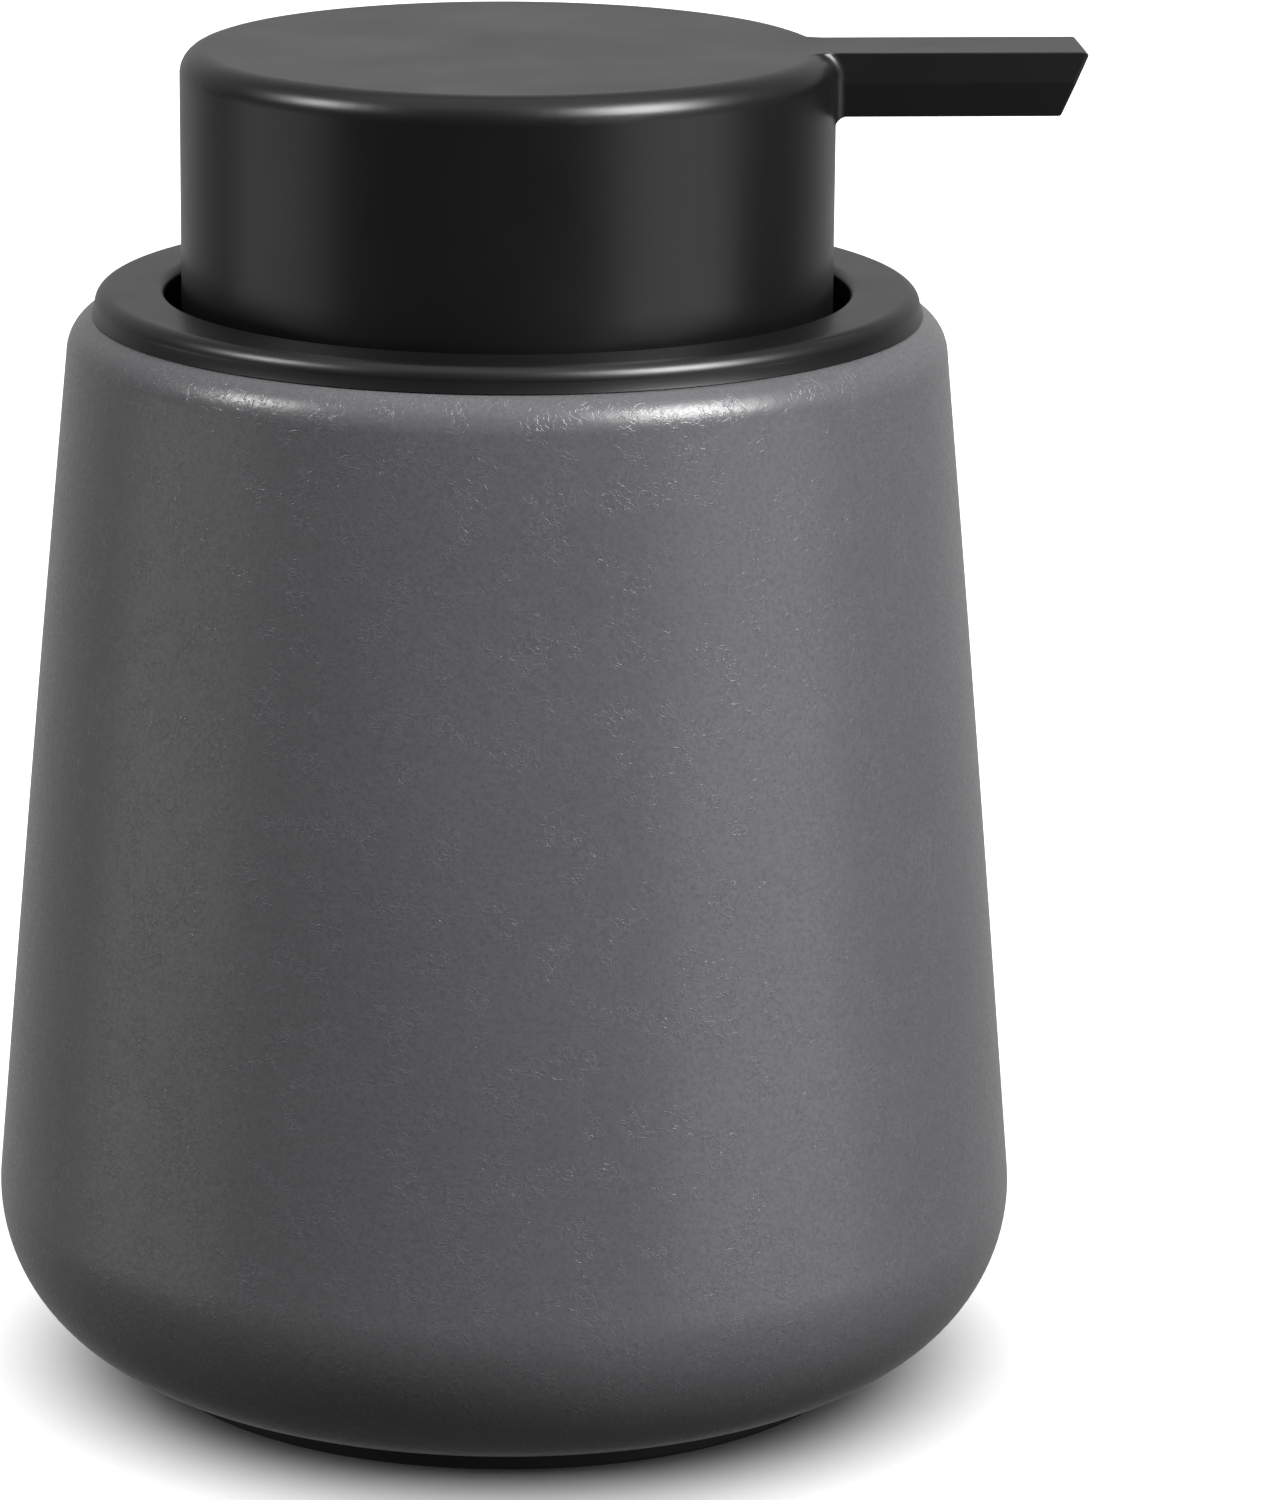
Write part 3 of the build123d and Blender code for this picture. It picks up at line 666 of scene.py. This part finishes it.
# ---- the jar ------------------------------------------------------------
@dataclass
class Jar(Maker):
    """The stoneware jar and the pad under it."""

    lean_deg: float = 5.25
    belly_mm: float = 14.8
    belly_height_mm: float = 16.35
    shoulder_mm: float = 3.6
    wall_mm: float = 4.5
    mouth_mm: float = 32.6
    land_mm: float = 10.85
    taper_mm: float = 2.0
    mouth_edge_mm: float = 0.5
    side_swell_mm: float = 0.10
    cast_ripple_mm: float = 0.03
    cast_ripple_length_mm: float = 26.0
    pad_edge_mm: float = 0.4
    segments: int = 320

    def ripple(self, place: Vector) -> float:
        """Slow unevenness of a cast and sponged wall, always inwards."""
        wave = noise.noise(place / (self.cast_ripple_length_mm * MM))
        return (0.5 * wave - 1.25) * self.cast_ripple_mm * MM

    def outline(self) -> Outline:
        """Half section of the jar, from the middle of its underside."""
        low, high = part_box("ceramic_bottle")
        widest = high.x
        lean = math.radians(self.lean_deg)
        belly, shoulder = self.belly_mm * MM, self.shoulder_mm * MM
        wall = self.wall_mm * MM
        centre = (widest - belly, self.belly_height_mm * MM)
        foot_deg = math.degrees(math.asin((low.z - centre[1]) / belly))
        side_r, side_z = centre[0] + belly * math.cos(lean), centre[1] + belly * math.sin(lean)
        top = high.z
        shoulder_z = top - shoulder
        shoulder_r = side_r - (shoulder + (shoulder_z - side_z) * math.sin(lean)) / math.cos(lean)
        section = Outline(arc_step_deg=3.0).start(0, low.z)
        section.arc(centre, belly, foot_deg, self.lean_deg)
        first = len(section.points)
        section.arc((shoulder_r, shoulder_z), shoulder, self.lean_deg, 90)
        for i in range(first, len(section.points)):
            r, z = section.points[i]
            if z < shoulder_z:
                rise = (z - side_z) / (shoulder_z - side_z)
                section.points[i] = (r + self.side_swell_mm * MM * math.sin(math.pi * rise), z)
        mouth, edge = self.mouth_mm * MM, self.mouth_edge_mm * MM
        section.arc((mouth + edge, top - edge), edge, 90, 180)
        land_z = top - self.land_mm * MM
        under_z = land_z - self.taper_mm * MM
        under_r = side_r - wall / math.cos(lean) - (under_z - side_z) * math.tan(lean)
        section.to(mouth, land_z).to(under_r, under_z)
        section.arc(centre, belly - wall, self.lean_deg, -90)
        section.to(0, centre[1] - belly + wall)
        return section

    def build(self) -> None:
        """Makes the jar and the pad."""
        jar = as_piece(turned(self.outline(), self.segments, self.ripple), "ceramic_jar")
        self.finish_piece(jar, "bottle", "grey_stoneware", Finish.STONEWARE, "ceramic_bottle")
        low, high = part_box("base_pad")
        edge = self.pad_edge_mm * MM
        section = Outline().start(0, low.z)
        section.arc((high.x - edge, low.z + edge), edge, -90, 0)
        section.to(high.x, high.z).to(0, high.z)
        pad = as_piece(turned(section, 192), "foot_pad")
        self.finish_piece(pad, "bottle", "black_silicone", Finish.PAD_SILICONE, "base_pad")


# ---- the collar insert --------------------------------------------------
@dataclass
class CollarInsert(Maker):
    """The collar with its well and neck, and the seal round it."""

    rim_mm: float = 35.65
    edge_mm: float = 1.3
    seat_centre_mm: Point2 = (34.565, 91.25)
    seat_arc_mm: float = 3.7
    lip_mm: float = 0.8
    well_mm: float = 29.6
    well_wall_mm: float = 1.6
    well_floor_mm: float = 76.0
    neck_mm: Point2 = (16.6, 18.8)
    neck_top_mm: float = 88.0
    ring_out_mm: float = 0.7
    ring_high_mm: float = 0.8
    ring_heights_mm: Point2 = (91.5, 84.7)
    thread_foot_mm: float = 80.5
    thread_pitch_mm: float = 4.0
    thread_depth_mm: float = 0.8
    thread_half_mm: Point2 = (1.2, 0.276)
    thread_turns: float = 1.5
    thread_steps: int = 72
    segments: int = 320

    def outline(self) -> Outline:
        """Half section of the collar, its well and its neck."""
        low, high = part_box("collar_insert")
        top, lip, edge = high.z, self.lip_mm * MM, self.edge_mm * MM
        well, wall = self.well_mm * MM, (self.well_mm + self.well_wall_mm) * MM
        centre = (self.seat_centre_mm[0] * MM, self.seat_centre_mm[1] * MM)
        seat = self.seat_arc_mm * MM
        seat_deg = math.degrees(math.acos((high.x - centre[0]) / seat))
        section = Outline(arc_step_deg=4.5)
        section.arc((well + lip, top - lip), lip, 180, 90)
        section.arc((self.rim_mm * MM - edge, top - edge), edge, 90, 0)
        section.arc(centre, seat, seat_deg, 90).to(wall, centre[1] + seat)
        for foot_mm in self.ring_heights_mm:
            foot, ring = foot_mm * MM, wall + self.ring_out_mm * MM
            head = foot + self.ring_high_mm * MM
            section.to(wall, head).to(ring, head).to(ring, foot).to(wall, foot)
        inner, outer = (r * MM for r in self.neck_mm)
        section.to(wall, low.z).to(inner, low.z).to(inner, self.neck_top_mm * MM)
        section.to(outer, self.neck_top_mm * MM).to(outer, self.well_floor_mm * MM)
        section.to(well, self.well_floor_mm * MM).to(well, top - lip)
        return section

    def add_thread(self, mesh: bmesh.types.BMesh) -> None:
        """Winds the neck's thread ridge, whose root lies inside the neck's wall.

        Args:
            mesh: The collar's mesh, which gets the ridge.
        """
        r = self.neck_mm[1] * MM
        path = []
        for i in range(round(self.thread_turns * self.thread_steps) + 1):
            angle = 2 * math.pi * i / self.thread_steps
            rise = self.thread_foot_mm + self.thread_pitch_mm * i / self.thread_steps
            path.append(Vector((r * math.cos(angle), r * math.sin(angle), rise * MM)))
        depth = self.thread_depth_mm * MM
        root, crest = (width * MM for width in self.thread_half_mm)
        sweep(mesh, path, [(-depth, -root), (depth, -crest), (depth, crest), (-depth, root)])

    def build(self) -> None:
        """Makes the collar and dresses the other nodes."""
        mesh = turned(self.outline(), self.segments)
        self.add_thread(mesh)
        collar = as_piece(mesh, "black_collar")
        self.finish_piece(collar, "insert", "black_abs", Finish.BLACK_ABS, "collar_insert")
        for node, slot, finish in (
            ("mouth_seal", "clear_silicone", Finish.SEAL_SILICONE),
            ("neck_gasket", "clear_silicone", Finish.SEAL_SILICONE),
            ("screw_closure", "black_polypropylene", Finish.BLACK_POLYPROPYLENE),
        ):
            self.dress_node(node, slot, finish)


# ---- the pump -----------------------------------------------------------
@dataclass
class FoamPump(Maker):
    """The pump that hangs in the insert, with its spring."""

    wire_mm: float = 0.45
    coil_mm: float = 6.3
    turns: int = 7
    end_turns: float = 0.9
    closed_wires: float = 2.1
    coil_steps: int = 48
    wire_sides: int = 12

    def spring(self) -> bpy.types.Object:
        """Winds the return spring, with closed ends.

        Returns:
            The spring.
        """
        low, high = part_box("return_spring")
        wire, coil = self.wire_mm * MM, self.coil_mm * MM
        bottom, top = low.z + wire, high.z - wire
        closed = self.closed_wires * wire
        total = self.turns * self.coil_steps
        ends = self.end_turns * self.coil_steps
        path: list[Vector] = []
        for i in range(total + 1):
            angle = 2 * math.pi * i / self.coil_steps
            if i < ends:
                z = bottom + closed * i / ends
            elif i > total - ends:
                z = top - closed * (total - i) / ends
            else:
                z = bottom + closed + (top - bottom - 2 * closed) * (i - ends) / (total - 2 * ends)
            path.append(Vector((coil * math.cos(angle), coil * math.sin(angle), z)))
        turns = [2 * math.pi * k / self.wire_sides for k in range(self.wire_sides)]
        mesh = bmesh.new()
        sweep(mesh, path, [(wire * math.cos(turn), wire * math.sin(turn)) for turn in turns])
        return as_piece(mesh, "return_coil")

    def build(self) -> None:
        """Makes the spring and dresses the pump's nodes."""
        coil = self.spring()
        self.finish_piece(coil, "insert", "stainless_steel", Finish.STAINLESS, "return_spring")
        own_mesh(coil)
        for node in (
            "pump_housing",
            "stem_guide",
            "inlet_ball_cage",
            "stem_tube",
            "air_piston",
            "liquid_piston",
            "mesh_cartridge",
            "head_core",
        ):
            self.dress_node(node, "white_polypropylene", Finish.WHITE_POLYPROPYLENE)
        self.dress_node("dip_tube", "clear_polyethylene", Finish.POLYETHYLENE)
        self.dress_node("air_valve_disc", "clear_silicone", Finish.SEAL_SILICONE)
        for node in ("coarse_mesh", "fine_mesh"):
            self.dress_node(node, "nylon_mesh", Finish.NYLON)
        for node in ("inlet_ball", "outlet_ball"):
            self.dress_node(node, "stainless_steel", Finish.STAINLESS)


# ---- the push head ------------------------------------------------------
@dataclass
class PushHead(Maker):
    """The push head, its spout and the foam channel."""

    def build(self) -> None:
        """Dresses the head's nodes."""
        self.dress_node("pump_head", "black_abs", Finish.HEAD_ABS)
        self.dress_node("nozzle_insert", "black_abs", Finish.BLACK_ABS)


# ---- the studio ---------------------------------------------------------
@dataclass
class SoftBox:
    """One soft light, placed round the dispenser.

    The direction is given as an azimuth, 0 in front and 90 on the right, and
    an elevation, both in degrees. The distance and the size are in metres and
    the power is in watts.
    """

    name: str
    azimuth: float
    elevation: float
    distance: float
    size: tuple[float, float]
    power: float
    on_object: bool

    def build(self, target: Vector, lit: bpy.types.Collection) -> None:
        """Adds the light, turned to the target.

        Args:
            target: The point that it faces.
            lit: The collection that says what the light falls on.
        """
        data = bpy.data.lights.new(self.name, "AREA")
        data.shape = "RECTANGLE"
        data.size, data.size_y = self.size
        data.energy = self.power
        light = bpy.data.objects.new(self.name, data)
        light.visible_camera = False
        light.light_linking.receiver_collection = lit
        bpy.context.scene.collection.objects.link(light)
        turn, rise = math.radians(self.azimuth), math.radians(self.elevation)
        away = Vector(
            (math.sin(turn) * math.cos(rise), -math.cos(turn) * math.cos(rise), math.sin(rise))
        )
        light.location = target + away * self.distance
        light.rotation_mode = "QUATERNION"
        light.rotation_quaternion = away.to_track_quat("Z", "Y")


@dataclass
class Studio:
    """Camera, soft boxes, pale floor and the room that the gloss mirrors.

    The camera stands a little to the left of straight in front, so that the
    spout points slightly away from it. The room's light is given low and
    high, between two slopes; a slope is the height of a unit direction.
    """

    camera_away: float = 0.560
    camera_height: float = 0.2044
    camera_turn_deg: float = 2.5
    pitch_deg: float = 14.93
    roll_deg: float = 0.2
    lens_mm: float = 157.9
    sensor_mm: float = 36.0
    shift_x: float = 0.0909
    shift_y: float = 0.001
    floor_hex: str = "#F4F4F4"
    floor_half: float = 6.0
    room_front: Point2 = (0.09, 0.20)
    front_slopes: Point2 = (-0.15, 0.5)
    room_back: Point2 = (0.05, 0.51)
    back_slopes: Point2 = (-0.8, -0.3)
    back_begins: Point2 = (0.4, 0.95)
    room_below: float = 0.30
    below_by_slope: tuple[Point2, ...] = ((0.0, 0.0), (0.15, 1.0), (0.45, 0.35), (0.75, 0.0))
    boxes: tuple[SoftBox, ...] = (
        SoftBox("key_box", 52, 42, 0.9, (0.40, 0.40), 14.0, True),
        SoftBox("key_panel", 58, -8, 0.9, (0.75, 0.3), 1.0, True),
        SoftBox("fill_box", -80, 38, 1.0, (0.22, 0.26), 5.0, True),
        SoftBox("fill_panel", -88, -8, 0.9, (0.7, 0.3), 0.6, True),
        SoftBox("top_box", 10, 88, 1.1, (1.2, 1.2), 2.8, True),
        SoftBox("floor_box", 0, 90, 1.4, (4.4, 4.4), 138.0, False),
    )

    def camera(self) -> None:
        """Places the camera in front of the dispenser, looking a little down."""
        data = bpy.data.cameras.new("camera")
        data.lens = self.lens_mm
        data.sensor_width = self.sensor_mm
        data.sensor_fit = "AUTO"
        data.shift_x, data.shift_y = self.shift_x, self.shift_y
        data.clip_start, data.clip_end = 0.01, 50.0
        camera = bpy.data.objects.new("camera", data)
        turn = Matrix.Rotation(math.radians(-self.camera_turn_deg), 4, "Z")
        place = Matrix.Translation((0, -self.camera_away, self.camera_height))
        tilt = Matrix.Rotation(math.radians(90 - self.pitch_deg), 4, "X")
        roll = Matrix.Rotation(math.radians(self.roll_deg), 4, "Z")
        camera.matrix_world = turn @ place @ tilt @ roll
        bpy.context.scene.collection.objects.link(camera)
        bpy.context.scene.camera = camera

    def floor(self) -> None:
        """Lays the pale floor, which only the camera and the lamps meet."""
        mesh = bmesh.new()
        half = self.floor_half
        corners = ((-half, -half, 0), (half, -half, 0), (half, half, 0), (-half, half, 0))
        mesh.faces.new([mesh.verts.new(corner) for corner in corners])
        data = bpy.data.meshes.new("floor")
        mesh.to_mesh(data)
        mesh.free()
        floor = bpy.data.objects.new("floor", data)
        bpy.context.scene.collection.objects.link(floor)
        for lit, state in ((self.floor_only, "INCLUDE"), (self.but_floor, "EXCLUDE")):
            lit.objects.link(floor)
            lit.collection_objects[0].light_linking.link_state = state
        floor.visible_glossy = False
        floor.visible_diffuse = False
        made, tree = empty_material("pale_floor")
        paper = {"Base Color": linear(self.floor_hex), "Roughness": 0.9}
        close_tree(tree, add_node(tree, "BsdfPrincipled", paper))
        data.materials.append(made)

    def surroundings(self) -> None:
        """Fills the room with light: brighter behind, dim low in front.

        The gloss mirrors a dim floor. What is matt also gets the light that
        the floor throws up at a flat slope, as the part of the floor under
        the belly lies in shade. The camera sees plain white.
        """
        world = bpy.data.worlds.new("studio")
        world.use_nodes = True
        tree = world.node_tree
        tree.nodes.clear()
        direction = add_node(tree, "TexCoord").outputs["Generated"]
        parts = add_node(tree, "SeparateXYZ", links={"Vector": direction})
        ray = add_node(tree, "LightPath")
        rise = parts.outputs["Z"]
        front = spread(tree, rise, self.room_front, self.front_slopes)
        wall = spread(tree, rise, self.room_back, self.back_slopes)
        behind = spread(tree, parts.outputs["Y"], (0.0, 1.0), self.back_begins)
        room = add_node(tree, "Mix", {"data_type": "FLOAT"}, {0: behind, 2: front, 3: wall})
        fall = spread(tree, rise, (0.0, 1.0), (0.0, -1.0))
        under = add_node(tree, "ValToRGB", links={"Fac": fall})
        stops = under.color_ramp.elements
        for number, (place, value) in enumerate(self.below_by_slope):
            stop = stops[number] if number < 2 else stops.new(place)
            stop.position = place
            stop.color = (value, value, value, 1)
        matt_only = add_node(
            tree,
            "Math",
            {"operation": "MULTIPLY", 1: self.room_below},
            {0: ray.outputs["Is Diffuse Ray"]},
        )
        strength = add_node(
            tree,
            "Math",
            {"operation": "MULTIPLY_ADD"},
            {0: under.outputs["Color"], 1: matt_only.outputs[0], 2: room.outputs[0]},
        )
        glow = add_node(
            tree, "Background", {"Color": (1, 1, 1, 1)}, {"Strength": strength.outputs[0]}
        )
        white = add_node(tree, "Background", {"Color": (1, 1, 1, 1), "Strength": 1.0})
        both = add_node(
            tree,
            "MixShader",
            links={0: ray.outputs["Is Camera Ray"], 1: glow.outputs[0], 2: white.outputs[0]},
        )
        add_node(tree, "OutputWorld", links={"Surface": both.outputs[0]})
        bpy.context.scene.world = world

    def build(self) -> None:
        """Sets up the whole studio."""
        self.floor_only = bpy.data.collections.new("floor_only")
        self.but_floor = bpy.data.collections.new("all_but_floor")
        self.camera()
        self.floor()
        self.surroundings()
        low, high = CAD_BOX
        for box in self.boxes:
            box.build((low + high) / 2, self.but_floor if box.on_object else self.floor_only)
        view = bpy.context.scene.view_settings
        view.view_transform = "Standard"
        view.look = "None"
        view.exposure = 0.0


def main() -> None:
    """Builds the studio and each sub-assembly."""
    logging.basicConfig(level=logging.INFO, format="%(name)s: %(message)s")
    Studio().build()
    paints = Paints()
    for assembly in (Jar(paints), CollarInsert(paints), FoamPump(paints), PushHead(paints)):
        assembly.build()
        LOG.info("%s: %s", type(assembly).__name__, ", ".join(assembly.made))


if __name__ == "__main__":
    main()
